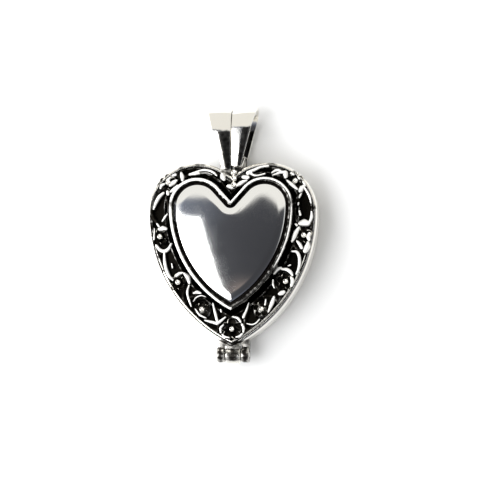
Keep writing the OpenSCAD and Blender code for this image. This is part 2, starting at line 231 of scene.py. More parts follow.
def heart_ring(heart, inset):
    """Outline of a heart (width, lobe radius, side radius, line through the lobes, cleft above it),
    set in by a distance, as one closed ring.

    Right half: an arc of the inset's radius round the cleft's point, a straight run that touches the
    lobe, the lobe's arc to its widest place, and the long side's arc down to the axis. The left half
    is its mirror. Points of two rings with the same number lie at the same place of the heart, so
    that rings of any insets join up.
    """
    width, lobe, side, line, rise = heart
    lobe_x, side_x = width / 2 - lobe, side - width / 2
    turn = np.arctan2(rise, -lobe_x) - np.arccos(lobe / np.hypot(lobe_x, rise))
    way = np.array([np.cos(turn), np.sin(turn)])
    nick = max(inset, 0.0)
    cleft = np.array([0, line + rise - min(inset, 0.0) / way[1]])
    round_cleft = arc(cleft, nick, -np.pi / 2, turn - np.pi, CLEFT_STEPS)
    first, last = cleft - nick * way, np.array([lobe_x, line]) + (lobe - inset) * way
    run = first + (last - first) * np.linspace(0, 1, RUN_STEPS, endpoint=False)[:, None]
    round_lobe = arc((lobe_x, line), lobe - inset, turn, 0, LOBE_STEPS)
    tip = -np.arccos(side_x / (side - inset))
    long_side = arc((-side_x, line), side - inset, 0, tip, SIDE_STEPS + 1, True)
    half = np.concatenate([round_cleft, run, round_lobe, long_side])
    return np.concatenate([half, half[-2:0:-1] * (-1, 1)])


RING = 2 * (CLEFT_STEPS + RUN_STEPS + LOBE_STEPS + SIDE_STEPS)


def rings(heart, profile):
    """A heart ring for each (inset, height, polish) row of a profile, as a grid of (x, y, z, polish)
    points."""
    return np.stack([
        np.concatenate([heart_ring(heart, inset), np.full((RING, 2), rest)], 1)
        for inset, *rest in profile])


def shrunk(ring, shares, centre=CENTRE):
    """Rings that close a grid's end: the ring drawn in towards a centre, to each share of its size.
    Its heights stay."""
    middle = np.append(centre, 0)
    flat = ring[None, :, :3] - middle
    drawn = middle + np.asarray(shares)[:, None, None] * flat * (1, 1, 0) + flat * (0, 0, 1)
    polish = np.broadcast_to(ring[None, :, 3:], (len(shares), len(ring), 1))
    return np.concatenate([drawn, polish], 2)


def soften(corners, reach, steps=5):
    """Profile with rounded corners: a corner gives way to a curve that leaves its edge `reach` before
    it, bends like a parabola towards it, and joins the next edge as far behind it."""
    c = np.asarray(corners, float)
    before, after = c[:-2] - c[1:-1], c[2:] - c[1:-1]
    r = np.broadcast_to(np.asarray(reach, float), len(c) - 2)[:, None]
    a = c[1:-1] + before * r / np.linalg.norm(before[:, :2], axis=1)[:, None]
    b = c[1:-1] + after * r / np.linalg.norm(after[:, :2], axis=1)[:, None]
    t = np.linspace(0, 1, steps + 1)[:, None, None]
    bend = (1 - t) ** 2 * a + 2 * t * (1 - t) * c[1:-1] + t**2 * b
    return np.concatenate([c[:1], bend.transpose(1, 0, 2).reshape(-1, c.shape[1]), c[-1:]])


def cast(name, grids, finish, body, node):
    """One piece out of grids. A grid is (points, closed over rows, closed over columns), each point
    being (x, y, z, polish) in millimetres from the heart's own centre. Neighbours in a grid make its
    faces, doubles merge, and faces turn outwards."""
    points, faces, first = [], [], 0
    for grid, over_rows, over_columns in grids:
        rows, columns = grid.shape[:2]
        number = first + np.arange(rows * columns).reshape(rows, columns)
        if over_rows:
            number = np.concatenate([number, number[:1]])
        if over_columns:
            number = np.concatenate([number, number[:, :1]], 1)
        corners = [number[:-1, :-1], number[1:, :-1], number[1:, 1:], number[:-1, 1:]]
        faces.append(np.stack(corners, 2).reshape(-1, 4))
        points.append(grid.reshape(-1, 4))
        first += rows * columns
    points, faces = np.concatenate(points), np.concatenate(faces)
    mesh = bpy.data.meshes.new(name)
    mesh.vertices.add(len(points))
    mesh.vertices.foreach_set("co", ((points[:, :3] + (0, SHIFT_Y, 0)) * MM).ravel())
    mesh.loops.add(faces.size)
    mesh.loops.foreach_set("vertex_index", faces.ravel())
    mesh.polygons.add(len(faces))
    mesh.polygons.foreach_set("loop_start", np.arange(len(faces)) * 4)
    mesh.update(calc_edges=True)
    mesh.attributes.new("polish", "FLOAT", "POINT").data.foreach_set("value", points[:, 3])
    work = bmesh.new()
    work.from_mesh(mesh)
    bmesh.ops.remove_doubles(work, verts=work.verts, dist=DOUBLE * MM)
    bmesh.ops.recalc_face_normals(work, faces=work.faces)
    work.to_mesh(mesh)
    work.free()
    mesh.shade_smooth()
    mesh.set_sharp_from_angle(angle=np.radians(SHARP))
    mesh.materials.append(finish)
    piece = bpy.data.objects.new(name, mesh)
    bpy.context.scene.collection.objects.link(piece)
    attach(piece, body)
    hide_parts(node)


# The polish up to which the silver is dark and from which it is bright. Its noises by scale, detail,
# stretch and turn, how much its smudges dull it, and how deep its scratches are
DARK_UP_TO, BRIGHT_FROM = 0.2, 0.62
BLOTCHES, SMUDGES, GRAIN = (2.2, 4), (0.7, 3), (5, 3)
SCRATCHES = (7, 2, (0.07, 1, 1), 0.35), (6, 2, (1, 0.08, 1), 0.5)
SMUDGE, SCRATCH_T = 0.8, 0.004 * MM


def silver(name, bright, dark, gloss, dull, scratch=0.3, blotch=0.25, metal=1.0):
    """Silver plate, blackened where the polishing cloth doesn't reach; the stored polish also holds
    painted shade and painted highlights in places.

    The polish stored in the mesh, shaken by a noise, mixes the dark patina with the bright metal
    along an S-shaped curve, in colour and in roughness. Fine crossed scratches and a soft grain make
    the bump.
    """
    made = bpy.data.materials.new(name)
    made.use_nodes = True
    tree = made.node_tree
    shader = tree.nodes["Principled BSDF"]
    shader.inputs["Metallic"].default_value = metal
    where = tree.nodes.new("ShaderNodeTexCoord")

    def noise(scale, detail, stretch=(1, 1, 1), turn=0.0):
        """A noise whose grain is 1/scale millimetres, stretched along the axes and turned about Z."""
        place = tree.nodes.new("ShaderNodeMapping")
        place.inputs["Scale"].default_value = [scale * s / MM for s in stretch]
        place.inputs["Rotation"].default_value = (0, 0, turn)
        grain = tree.nodes.new("ShaderNodeTexNoise")
        grain.inputs["Scale"].default_value = 1.0
        grain.inputs["Detail"].default_value = detail
        tree.links.new(where.outputs["Object"], place.inputs["Vector"])
        tree.links.new(place.outputs["Vector"], grain.inputs["Vector"])
        return grain.outputs["Fac"]

    stored = tree.nodes.new("ShaderNodeAttribute")
    stored.attribute_name = "polish"
    shake = maths(tree, "MULTIPLY", maths(tree, "SUBTRACT", noise(*BLOTCHES), 0.5), blotch)
    worn = tree.nodes.new("ShaderNodeMapRange")
    worn.interpolation_type = "SMOOTHSTEP"
    worn.inputs["From Min"].default_value = DARK_UP_TO
    worn.inputs["From Max"].default_value = BRIGHT_FROM
    tree.links.new(maths(tree, "ADD", stored.outputs["Fac"], shake), worn.inputs["Value"])
    tint = tree.nodes.new("ShaderNodeMix")
    tint.data_type = "RGBA"
    tint.inputs["A"].default_value = (*dark, 1)
    tint.inputs["B"].default_value = (*bright, 1)
    tree.links.new(worn.outputs["Result"], tint.inputs["Factor"])
    tree.links.new(tint.outputs["Result"], shader.inputs["Base Color"])
    rough = tree.nodes.new("ShaderNodeMapRange")
    rough.inputs["To Min"].default_value = dull
    rough.inputs["To Max"].default_value = gloss
    tree.links.new(worn.outputs["Result"], rough.inputs["Value"])
    smudge = maths(tree, "MULTIPLY", noise(*SMUDGES), gloss * SMUDGE)
    smudged = maths(tree, "ADD", rough.outputs["Result"], smudge)
    tree.links.new(smudged, shader.inputs["Roughness"])
    along_x, along_y = (noise(*row) for row in SCRATCHES)
    lines = maths(tree, "MULTIPLY", maths(tree, "ADD", along_y, along_x), 0.5)
    bump = tree.nodes.new("ShaderNodeBump")
    bump.inputs["Strength"].default_value = scratch
    bump.inputs["Distance"].default_value = SCRATCH_T
    tree.links.new(maths(tree, "ADD", lines, noise(*GRAIN)), bump.inputs["Height"])
    tree.links.new(bump.outputs["Normal"], shader.inputs["Normal"])
    return made


bright_silver = silver(
    "bright silver plate", (0.93, 0.91, 0.86), (0.05, 0.045, 0.04), gloss=0.13, dull=0.35)
# Inset, height and polish: from the flat back over the edge and the lip, down to the floor inside
pan_profile = soften(
    [(1.9, 0.0, 1), (0, 0.0, 1), (0, BACK_H, 0.9), (WALL_T, BACK_H, 0.4), (WALL_T, FLOOR_T, 0.5),
     (2.5, FLOOR_T, 0.6)],
    [0.9, 0.14, 0.1, 0.3])
pan = rings(BODY, pan_profile)
pan = np.concatenate([shrunk(pan[0], [0, 0.4, 0.8]), pan, shrunk(pan[-1], [0.8, 0.4, 0])])
cast("back_pan", [(pan, False, True)], bright_silver, "back", "back_shell")

# ---- Outer knuckles ----
# Two short tubes of the hinge at the tip, cut from brass tube and silver plated with the rest. Each
# is on a leaf that is soldered under the pan's lip.
HINGE_Y, HINGE_Z = -17.5853, 2.53
KNUCKLE_R, BORE_R = 0.97, 0.43
MID_HALF, END_L, SIDE_GAP = 0.95, 1.0, 0.08
# Polish of the knuckles: the rims are worn bright and carry painted highlights, the middle is dark
# with patina and with a painted reflection of the dark ceiling, and the lip gets a painted highlight
# on its lit side towards the tip
RIM_WEAR_AND_HIGHLIGHT, TUBE_PATINA_AND_SHADE, BORE_POLISH = 0.52, 0.12, 0.1
LIP_OUT, LIP_HIGHLIGHT, LIP_FROM = 0.22, 0.8, 0.75
BAR_EDGE, BAR_POLISH = 0.12, (0.15, 0.4)
LEAF_Y0, OUTER_LEAF_Y1, MID_LEAF_Y1 = HINGE_Y + 0.62, -15.32, -16.43
ROUND = 56
hinge_silver = silver(
    "hinge silver plate", (0.9, 0.88, 0.83), (0.02, 0.018, 0.016),
    gloss=0.2, dull=0.2, scratch=0.5, blotch=0.7)


def turned(profile, y, z):
    """A shape turned about a line along X: each (place along X, radius, polish) row of the profile
    makes a ring."""
    x, r, polish = np.asarray(profile).T[:, :, None]
    a = np.linspace(0, 2 * np.pi, ROUND, endpoint=False)[None]
    one = np.ones_like(a)
    return np.stack([x * one, y + r * np.cos(a), z + r * np.sin(a), polish * one], 2)


def tube(x0, x1, lip=0.0):
    """A hinge knuckle: a tube along X between two places, its rims rounded and worn bright, with
    painted highlights on them, its bore dark, and its middle dark with patina and a painted
    reflection. A lip, a bulge that grows with the square of the depth, stands out on the far side,
    with a painted highlight on it."""
    bore = [(x0, BORE_R, BORE_POLISH), (x1, BORE_R, BORE_POLISH)]
    ring = [bore[0], (x0, KNUCKLE_R, RIM_WEAR_AND_HIGHLIGHT), ((x0 + x1) / 2, KNUCKLE_R, TUBE_PATINA_AND_SHADE),
            (x1, KNUCKLE_R, RIM_WEAR_AND_HIGHLIGHT), bore[1]]
    closed = soften([bore[1], *ring, bore[0]], [0.06, 0.24, 0.1, 0.24, 0.06])[1:-1]
    grid = turned(closed, HINGE_Y, HINGE_Z)
    beyond = np.clip((HINGE_Y - grid[:, :, 1]) / KNUCKLE_R - LIP_FROM, 0, 1) / (1 - LIP_FROM)
    # Painted highlight on the lip's far side
    grid[:, :, 3] += lip * LIP_HIGHLIGHT * beyond
    grid[:, :, 1] -= lip * LIP_OUT * beyond**2
    return grid, True, True


def bar(x, y, z):
    """A straight bar along Y with rounded edges: its cross-section is a softened rectangle in X and
    Z, drawn in at both ends. Polish grows from its underside to its top."""
    (x0, x1), (y0, y1), (z0, z1) = x, y, z
    middle = ((x0 + x1) / 2, z0)
    corners = [middle, (x1, z0), (x1, z1), (x0, z1), (x0, z0), middle]
    section = soften(corners, BAR_EDGE, 4)[:-1]
    end = 1 - 2 * BAR_EDGE / min(x1 - x0, z1 - z0)
    shares = np.array([0, end, 1, 1, end, 0])
    at_y = np.array([y0, y0, y0 + BAR_EDGE, y1 - BAR_EDGE, y1, y1])
    centre = np.array([(x0 + x1) / 2, (z0 + z1) / 2])
    grown = centre + shares[:, None, None] * (section[None] - centre)
    level = (grown[:, :, 1] - z0) / (z1 - z0)
    polish = BAR_POLISH[0] + (BAR_POLISH[1] - BAR_POLISH[0]) * level
    y = np.broadcast_to(at_y[:, None], level.shape)
    return np.stack([grown[:, :, 0], y, grown[:, :, 1], polish], 2), False, True


outer = []
for x0, x1 in ((-MID_HALF - SIDE_GAP - END_L, -MID_HALF - SIDE_GAP),
               (MID_HALF + SIDE_GAP, MID_HALF + SIDE_GAP + END_L)):
    leaf = bar((x0, x1), (LEAF_Y0, OUTER_LEAF_Y1), (HINGE_Z - KNUCKLE_R, BACK_H))
    outer += [tube(x0, x1), leaf]
cast("outer_knuckles", outer, hinge_silver, "back", "back_shell")

# ---- Right loop of the bail ----
# A flat strip of silver-plated brass, bent round to a closed loop that widens towards its top, its
# outer face a little crowned. Its foot is soldered to the pan in the cleft, with a web in the notch.
LOOP_Y0, LOOP_L, LOOP_R, LOOP_T = 6.85, 6.6, 2.55, 0.45
LOOP_X0, FOOT_W, TOP_W = 0.06, 1.4, 3.1
CROWN, LOOP_EDGE, NEAR_L = 0.08, 0.06, 1.6
# Painted shade on the loops' faces: its depth, how far into the round end it reaches, and the length
# over which it fades out there
SHADE_DEPTH, SHADE_FROM, SHADE_OVER = 0.68, 0.35, 0.3
# Polish across the strip: its face with both edges, then its inner side
STRIP_POLISH = np.array([0.8, *[0.95] * 9, 0.8, 0.7, 0.6, 0.6, 0.7])
FOOT_Y, FOOT_GAP = 5.09, 0.06
WEB_Y0, WEB_Y1, WEB_FOOT_X, WEB_TOP_X = 4.30, 5.266, 1.46, 1.235
WEB_EDGE, WEB_POLISH, WEB_IN, WEB_LOW, WEB_HIGH = 0.12, 0.2, 0.93, 0.08, 0.1
bail_silver = silver(
    "bail silver plate", (0.93, 0.91, 0.86), (0.018, 0.014, 0.010),
    gloss=0.09, dull=0.10, scratch=0.2, blotch=0.3)
satin_silver = silver(
    "satin silver plate", (0.93, 0.91, 0.86), (0.05, 0.045, 0.04),
    gloss=0.42, dull=0.4, scratch=0.5, blotch=0.6)


def loop_path(runs_on, curve_l):
    """Side outline of a loop in Y and Z, as a closed line of points with its inward normals.

    Round a half ellipse of a given length at the far end, from the table side to the face side, then
    along the face to the foot, and round the corners at the foot. Where the face runs on, its corner
    lies that much nearer to the hinge.
    """
    a = np.linspace(-np.pi / 2, np.pi / 2, 91)
    curve_y = LOOP_Y0 + LOOP_L - curve_l
    far = np.stack([curve_y + curve_l * np.cos(a), LOOP_R + LOOP_R * np.sin(a)], 1)
    near = soften(
        [(LOOP_Y0 + NEAR_L, 2 * LOOP_R), (LOOP_Y0 - runs_on, 2 * LOOP_R),
         (LOOP_Y0 - runs_on, 1.3 * LOOP_R), (LOOP_Y0, 0.8 * LOOP_R), (LOOP_Y0, 0),
         (LOOP_Y0 + NEAR_L, 0)],
        [0.4, 0.1, 0.1, 0.55], 8)
    line = np.concatenate([far, near])
    along = np.roll(line, -1, 0) - np.roll(line, 1, 0)
    along /= np.linalg.norm(along, axis=1)[:, None]
    return line, np.stack([-along[:, 1], along[:, 0]], 1)


def bail_loop(side, runs_on, curve_l, lean, dark):
    """One loop: the strip's crowned cross-section carried along the side outline. Across the strip,
    its face lies lower by the crown times the square of the place, and by the lean times the place;
    its width grows evenly along Y. Between the round end and the foot, its face is painted dark over a
    range across it, as shade on the side turned from the light."""
    line, inward = loop_path(runs_on, curve_l)
    across = np.linspace(-1, 1, 11)
    face = np.stack([across, CROWN * across**2 + lean * (1 - across)], 1)
    inner = [(1, LOOP_T - LOOP_EDGE), (0.9, LOOP_T), (-0.9, LOOP_T), (-1, LOOP_T - LOOP_EDGE)]
    section = np.concatenate([face, inner])[None]
    # Painted shade: the face is darkened over the given range across it, up to a little past the round
    # end's start
    shade_to = LOOP_Y0 + LOOP_L - curve_l + SHADE_FROM
    straight = np.clip((shade_to - line[:, 0]) / SHADE_OVER, 0, 1)[:, None]
    in_painted_shade = (section[:, :, 0] > dark[0]) & (section[:, :, 0] < dark[1])
    share = (line[:, 0] - LOOP_Y0) / LOOP_L
    half = (FOOT_W + (TOP_W - FOOT_W) * share)[:, None] / 2
    x = side * (LOOP_X0 + half + half * section[:, :, 0])
    yz = line[:, None] + inward[:, None] * section[:, :, 1, None]
    polish = STRIP_POLISH * (1 - SHADE_DEPTH * straight * in_painted_shade)
    return np.concatenate([x[:, :, None], yz, polish[:, :, None]], 2), True, True


def web(z0, z1):
    """The web in the cleft: a plate between two heights, as wide as both feet, narrower towards the
    bail, its rims drawn in."""
    corners = [(0, WEB_Y0), (WEB_FOOT_X, WEB_Y0), (WEB_TOP_X, WEB_Y1), (-WEB_TOP_X, WEB_Y1),
               (-WEB_FOOT_X, WEB_Y0), (0, WEB_Y0)]
    outline = soften(corners, WEB_EDGE, 3)[:-1]
    middle = np.array([0, (WEB_Y0 + WEB_Y1) / 2])
    shares = np.array([0, WEB_IN, 1, 1, WEB_IN, 0])
    heights = np.array([z0, z0, z0 + WEB_LOW, z1 - WEB_HIGH, z1, z1])
    xy = middle + shares[:, None, None] * (outline[None] - middle)
    z = np.broadcast_to(heights[:, None, None], (*xy.shape[:2], 1))
    return np.concatenate([xy, z, np.full_like(z, WEB_POLISH)], 2), False, True


# The range across each face that is painted dark as shade on the side turned from the light: the right
# loop's right part, the left loop all but its left edge
RIGHT_RUNS_ON, RIGHT_CURVE_L, RIGHT_LEAN, RIGHT_PAINTED_SHADE = 1.25, 2.9, 0.07, (0.0, 0.95)
right_loop = bail_loop(1, RIGHT_RUNS_ON, RIGHT_CURVE_L, RIGHT_LEAN, RIGHT_PAINTED_SHADE)
cast("right_bail_loop", [right_loop], bail_silver, "back", "back_shell")
foot_x, foot_y = (LOOP_X0, LOOP_X0 + FOOT_W), (FOOT_Y, LOOP_Y0 + LOOP_T)
right_foot = bar(foot_x, foot_y, (LOOP_T, BACK_H - FOOT_GAP))
cast("right_bail_foot", [right_foot, web(FLOOR_T, BACK_H)], satin_silver, "back", "back_shell")

# ---- Hinge pin ----
# A plain brass rod, silver plated, through the three knuckles. Its ends are dressed off a little
# round and it turns freely in the bores.
PIN_R, PIN_HALF = 0.4, 2.03
PIN_END, PIN_POLISH = 0.12, 0.9
pin_side = ((-PIN_HALF, 0), (-PIN_HALF, PIN_R), (PIN_HALF, PIN_R), (PIN_HALF, 0))
pin_profile = soften([(x, r, PIN_POLISH) for x, r in pin_side], PIN_END)
pin = turned(pin_profile, HINGE_Y, HINGE_Z)
cast("pin", [(pin, False, True)], bright_silver, "back", "hinge_pin")

# ---- Front cover ----
# The upper half, cast in brass in one with its rounded rim, a closed ground painted black as the shade
# inside the openwork, and the raised ridge round the plate.
COVER_Z, RIM_Z, GROUND_Z, RIDGE_Z = 2.56, 4.41, 3.61, 5.61
RIM_W, GROUND_T = 0.45, 0.7
UNDER_Z = GROUND_Z - GROUND_T
PLATE = (15.4, 3.47961, 14.75, 0.8, 0.5)
LEDGE_Z = 4.51
# Its dark is patina in the hollows of the cast work, and painted shade on the closed ground
patina_and_shade_silver = silver(
    "antique silver and painted shade", (0.95, 0.93, 0.88), (0.008, 0.007, 0.0055),
    gloss=0.14, dull=0.2, scratch=0.5, blotch=0.6)
# Inset, height and polish: the rim from inside the cover, round its outside and top, to the ground,
# which is painted black as shade
rim_side = soften(
    [(1.6, UNDER_Z, 0.8), (WALL_T, UNDER_Z, 0.7), (WALL_T, COVER_Z, 0.8), (0, COVER_Z, 0.8),
     (0, RIM_Z, 1.0), (RIM_W, RIM_Z, 0.9), (RIM_W, GROUND_Z, 0.0), (1.5, GROUND_Z, 0.0)],
    [0.2, 0.1, 0.14, 0.42, 0.14, 0.15])
# The ridge from the ground, which is painted black as shade, over its slope and its top, down to the
# plate's ledge and back inside
ridge_side = soften(
    [(-1.2, GROUND_Z, 0.0), (-0.407, GROUND_Z, 0.0), (-0.14, 4.99, 0.05), (-0.02, RIDGE_Z, 0.45),
     (0.5, RIDGE_Z, 0.2), (0.5, LEDGE_Z, 0.0), (1.0, LEDGE_Z, 0.0), (1.0, UNDER_Z, 0.8),
     (-0.8, UNDER_Z, 0.8)],
    [0.15, 0.05, 0.24, 0.2, 0.05, 0.05, 0.1])
rim = rings(BODY, rim_side)
# Patina is left on the rim's top in some places round the lobes (x, y, width), and at the tip
LEFT_DARK = np.array([(5.0, 6.2, 1.2), (8.2, 5.1, 0.9), (10.3, 0.6, 0.6), (-4.0, 6.2, 1.5),
                      (-6.4, 5.7, 0.8), (-9.2, 4.0, 1.1), (-6.6, -9.9, 0.5), (-8.0, -8.4, 0.4)])
TOP_FROM, TOP_OVER, TIP_FROM = 3.9, 0.4, -15
TOP_BRIGHTER, SPOT_DARKER = 0.25, 0.95
off = np.linalg.norm(rim[:, :, None, :2] - LEFT_DARK[:, :2], axis=-1) / LEFT_DARK[:, 2]
on_top = np.clip((rim[:, :, 2] - TOP_FROM) / TOP_OVER, 0, 1) * (rim[:, :, 3] > 0)
in_spot, at_tip = np.exp(-(off**2)).max(-1), np.clip(TIP_FROM - rim[:, :, 1], 0, 1)
rim[:, :, 3] *= 1 + on_top * (TOP_BRIGHTER - SPOT_DARKER * in_spot - at_tip)
cover = np.concatenate([rim, rings(PLATE, ridge_side)])
cast("cover", [(cover, True, True)], patina_and_shade_silver, "cover", "front_cover")

# The ridge's crest is rubbed to bare, satin silver
worn_silver = silver(
    "worn silver", (0.96, 0.95, 0.92), (0.008, 0.007, 0.0055),
    gloss=0.3, dull=0.25, scratch=0.6, blotch=0.45, metal=0.45)


def crest(width):
    """A low bead along the ridge's top, from its outer edge to a given width, closed all round."""
    bead_side = [(0.1, RIDGE_Z - 0.3, 0.0), (-0.05, RIDGE_Z - 0.22, 0.2), (0.02, RIDGE_Z + 0.04, 1.0),
                 (width, RIDGE_Z + 0.03, 1.0), (width + 0.05, RIDGE_Z - 0.25, 0.1),
                 (0.1, RIDGE_Z - 0.3, 0.0)]
    return rings(PLATE, soften(bead_side, [0.04, 0.1, 0.06, 0.04])[:-1])


# It is narrower on the right, as painted shade on the side away from the light: the share of
# narrowness grows with X, and falls above the lobes' middle. It is less worn beside the lobes (middle
# and width of that place along X and Y), and towards the tip on the right it is darkened as painted
# shade
WIDE, NARROW, NARROW_OVER = 0.31, 0.15, 9
LOBES_FROM, LOBES_MOST, LOBES_OVER = 1, 2, 4
BESIDE_X, BESIDE_Y, BESIDE_DARK = (7.5, 0.8), (1.1, 1.2), 0.62
LOW_FROM, LOW_OVER, LOW_PAINTED_SHADE = -5.2, 2, 0.78
wide, narrow = crest(WIDE), crest(NARROW)
at_lobes = np.clip(wide[:, :, 1:2] - LOBES_FROM, 0, LOBES_MOST) / LOBES_OVER
right_shade_share = np.clip(0.5 + wide[:, :, :1] / NARROW_OVER - at_lobes, 0, 1)
ridge_top = wide + (narrow - wide) * right_shade_share
x, y = ridge_top[:, :, 0], ridge_top[:, :, 1]
off_x, off_y = (np.abs(x) - BESIDE_X[0]) / BESIDE_X[1], (y - BESIDE_Y[0]) / BESIDE_Y[1]
beside = np.exp(-(off_x**2) - off_y**2)
low_right_shade = np.clip((LOW_FROM - y) / LOW_OVER, 0, 1) * (x > 0.1)
# Less bright beside the lobes, and painted shade towards the tip on the right
ridge_top[:, :, 3] *= 1 - BESIDE_DARK * beside - LOW_PAINTED_SHADE * low_right_shade
cast("ridge_crest", [(ridge_top, True, True)], worn_silver, "cover", "front_cover")

# ---- Left loop, middle knuckle and the beads in the cleft ----
# Silver-plated brass as the rest, and soldered to the cover: the loop's foot comes down in the cleft,
# over a row of small punched beads, and the knuckle is on a leaf of its own at the tip.
LEFT_FOOT_Z1, LEFT_WEB_Z1 = 2 * LOOP_R - 0.5, 3.91
BEAD_X, BEAD_Z, BEAD_R, BEAD_DENT = 0.294, 4.515, 0.42, 0.12
BEADS_Y = (5.056, 4.258, 3.46)
BEAD_RISE, BEAD_ROUND = 14, 28
# Widths of the dent and of its dark by the radius, its darkness, and a ball's polish and its growth
DENT_W, DENT_DARK_W, DENT_DARK, BALL_POLISH, BALL_BRIGHTER = 0.3, 0.28, 2.2, 0.55, 0.8


def bead(x, y, z, r, dent=0.0):
    """A ball whose top has a small punched dent: a ball's half circle turned about the vertical, its
    height lowered near the top by a bell curve."""
    a = np.linspace(-np.pi / 2, np.pi / 2, BEAD_RISE)[:, None]
    t = np.linspace(0, 2 * np.pi, BEAD_ROUND, endpoint=False)[None]
    out, upper = r * np.cos(a), a > 0
    up = r * np.sin(a) - dent * np.exp(-(out / (DENT_W * r)) ** 2) * upper
    in_dent = DENT_DARK * dent / r * np.exp(-(out / (DENT_DARK_W * r)) ** 2) * upper
    polish = np.clip(BALL_POLISH + BALL_BRIGHTER * up / r - in_dent, 0, 1)
    one = np.ones_like(t)
    grid = [x + out * np.cos(t), y + out * np.sin(t), (z + up) * one, polish * one]
    return np.stack(grid, 2), False, True


LEFT_RUNS_ON, LEFT_CURVE_L, LEFT_LEAN, LEFT_PAINTED_SHADE = 1.6, 3.4, 0.0, (-0.95, 0.5)
left_loop = bail_loop(-1, LEFT_RUNS_ON, LEFT_CURVE_L, LEFT_LEAN, LEFT_PAINTED_SHADE)
cast("left_bail_loop", [left_loop], bail_silver, "cover", "front_cover")
left_foot = bar((-LOOP_X0 - FOOT_W, -LOOP_X0), foot_y, (COVER_Z + FOOT_GAP, LEFT_FOOT_Z1))
cast("left_bail_foot", [left_foot, web(COVER_Z, LEFT_WEB_Z1)], satin_silver, "cover", "front_cover")
beads = [bead(BEAD_X, y, BEAD_Z, BEAD_R, BEAD_DENT) for y in BEADS_Y]
cast("cleft_beads", beads, patina_and_shade_silver, "cover", "front_cover")
mid_leaf = bar((-MID_HALF, MID_HALF), (LEAF_Y0, MID_LEAF_Y1), (COVER_Z, HINGE_Z + KNUCKLE_R))
middle = [tube(-MID_HALF, MID_HALF, 1.0), mid_leaf]
cast("middle_knuckle", middle, hinge_silver, "cover", "front_cover")

# ---- Heart plate ----
# A domed, mirror-polished plate of silver-plated brass that sits on the ledge inside the ridge. The
# step round its edge leaves the dark groove, and its edge is rolled over softly. It is bare.
PLATE_EDGE_Z, GROOVE_Z, SEAT_Z, PLATE_RISE, PLATE_T = 5.46, 5.11, 4.56, 0.55, 0.6
STEP_IN, EDGE_IN, SEAT_IN = 0.55, 0.85, 1.05
ROLL_DROP, ROLL_W, FACE_W = 0.13, 1.1, 1.7
FACE_STEPS, FACE_CROWDED, DOME_STEPS, UNDER_STEPS = 22, 1.7, 26, 12
DOME_LOW = 0.23
DOME_CENTRE = np.array([0.0, PLATE[3] - DOME_LOW * PLATE[0]])
DOME_REACH = np.hypot(PLATE[0] / 2 - PLATE[1], PLATE[3] - DOME_CENTRE[1]) + PLATE[1] - EDGE_IN
DOME_R = (DOME_REACH**2 + PLATE_RISE**2) / (2 * PLATE_RISE)
# Polish of the underside, and the strength of the groove's painted highlight
UNDER_POLISH, GROOVE_HIGHLIGHT = 0.85, 0.9
GROOVE_LIT_X, GROOVE_LIT_Y = (-7.1, 0.7), (0.2, 1.2)


def dome(xy, r):
    """Height of a ball of radius r, centred below the plate's middle, over each point."""
    return PLATE_EDGE_Z + PLATE_RISE - DOME_R + np.sqrt(r**2 - ((xy - DOME_CENTRE) ** 2).sum(-1))


def plate_rings(insets, heights, polish):
    """Rings of the plate's outline at some insets and heights, with one polish."""
    xy = np.stack([heart_ring(PLATE, inset) for inset in insets])
    z = np.broadcast_to(np.asarray(heights, float)[:, None], xy.shape[:2])
    return np.concatenate([xy, z[:, :, None], np.full((*xy.shape[:2], 1), polish)], 2)


# The step: its seat on the ledge, its outer wall, and the groove's floor. The groove gets a painted
# highlight in one place on the left, where the light falls: its middle and width along X and along Y
step = plate_rings(
    [SEAT_IN, SEAT_IN - 0.03, STEP_IN + 0.03, STEP_IN,
     STEP_IN, STEP_IN + 0.04, EDGE_IN, EDGE_IN - 0.005],
    [SEAT_Z, SEAT_Z - 0.025, SEAT_Z - 0.025, SEAT_Z,
     GROOVE_Z - 0.04, GROOVE_Z, GROOVE_Z, GROOVE_Z + 0.05],
    0.0)
lit_x = (step[:, :, 0] - GROOVE_LIT_X[0]) / GROOVE_LIT_X[1]
lit_y = (step[:, :, 1] - GROOVE_LIT_Y[0]) / GROOVE_LIT_Y[1]
step[:, :, 3] = GROOVE_HIGHLIGHT * np.exp(-(lit_x**2) - lit_y**2)
# The face: rings that follow the edge, then rings drawn in to the dome's middle. Its edge drops by
# the cube of the way to it
face_in = EDGE_IN + FACE_W * np.linspace(0, 1, FACE_STEPS) ** FACE_CROWDED
face = plate_rings(face_in, 0 * face_in, 1.0)
face = np.concatenate([face, shrunk(face[-1], np.linspace(1, 0, DOME_STEPS)[1:], DOME_CENTRE)])
drop = ROLL_DROP * np.clip(1 - (face_in - EDGE_IN) / ROLL_W, 0, 1) ** 3
face[:, :, 2] = dome(face[:, :, :2], DOME_R)
face[:len(drop), :, 2] -= drop[:, None]
face[:2, :, 3] = [[0.1], [0.7]]
# The underside: a smaller ball about the same centre
under = shrunk(step[0], np.linspace(0, 1, UNDER_STEPS)[:-1], DOME_CENTRE)
under[:, :, 2] = dome(under[:, :, :2], DOME_R - PLATE_T)
under[:, :, 3] = UNDER_POLISH
mirror_silver = silver(
    "mirror silver", (0.95, 0.95, 0.94), (0.012, 0.010, 0.009),
    gloss=0.05, dull=0.25, scratch=0.10, blotch=0.1)
plate = np.concatenate([under, step, face])
cast("plate", [(plate, False, True)], mirror_silver, "cover", "heart_plate")

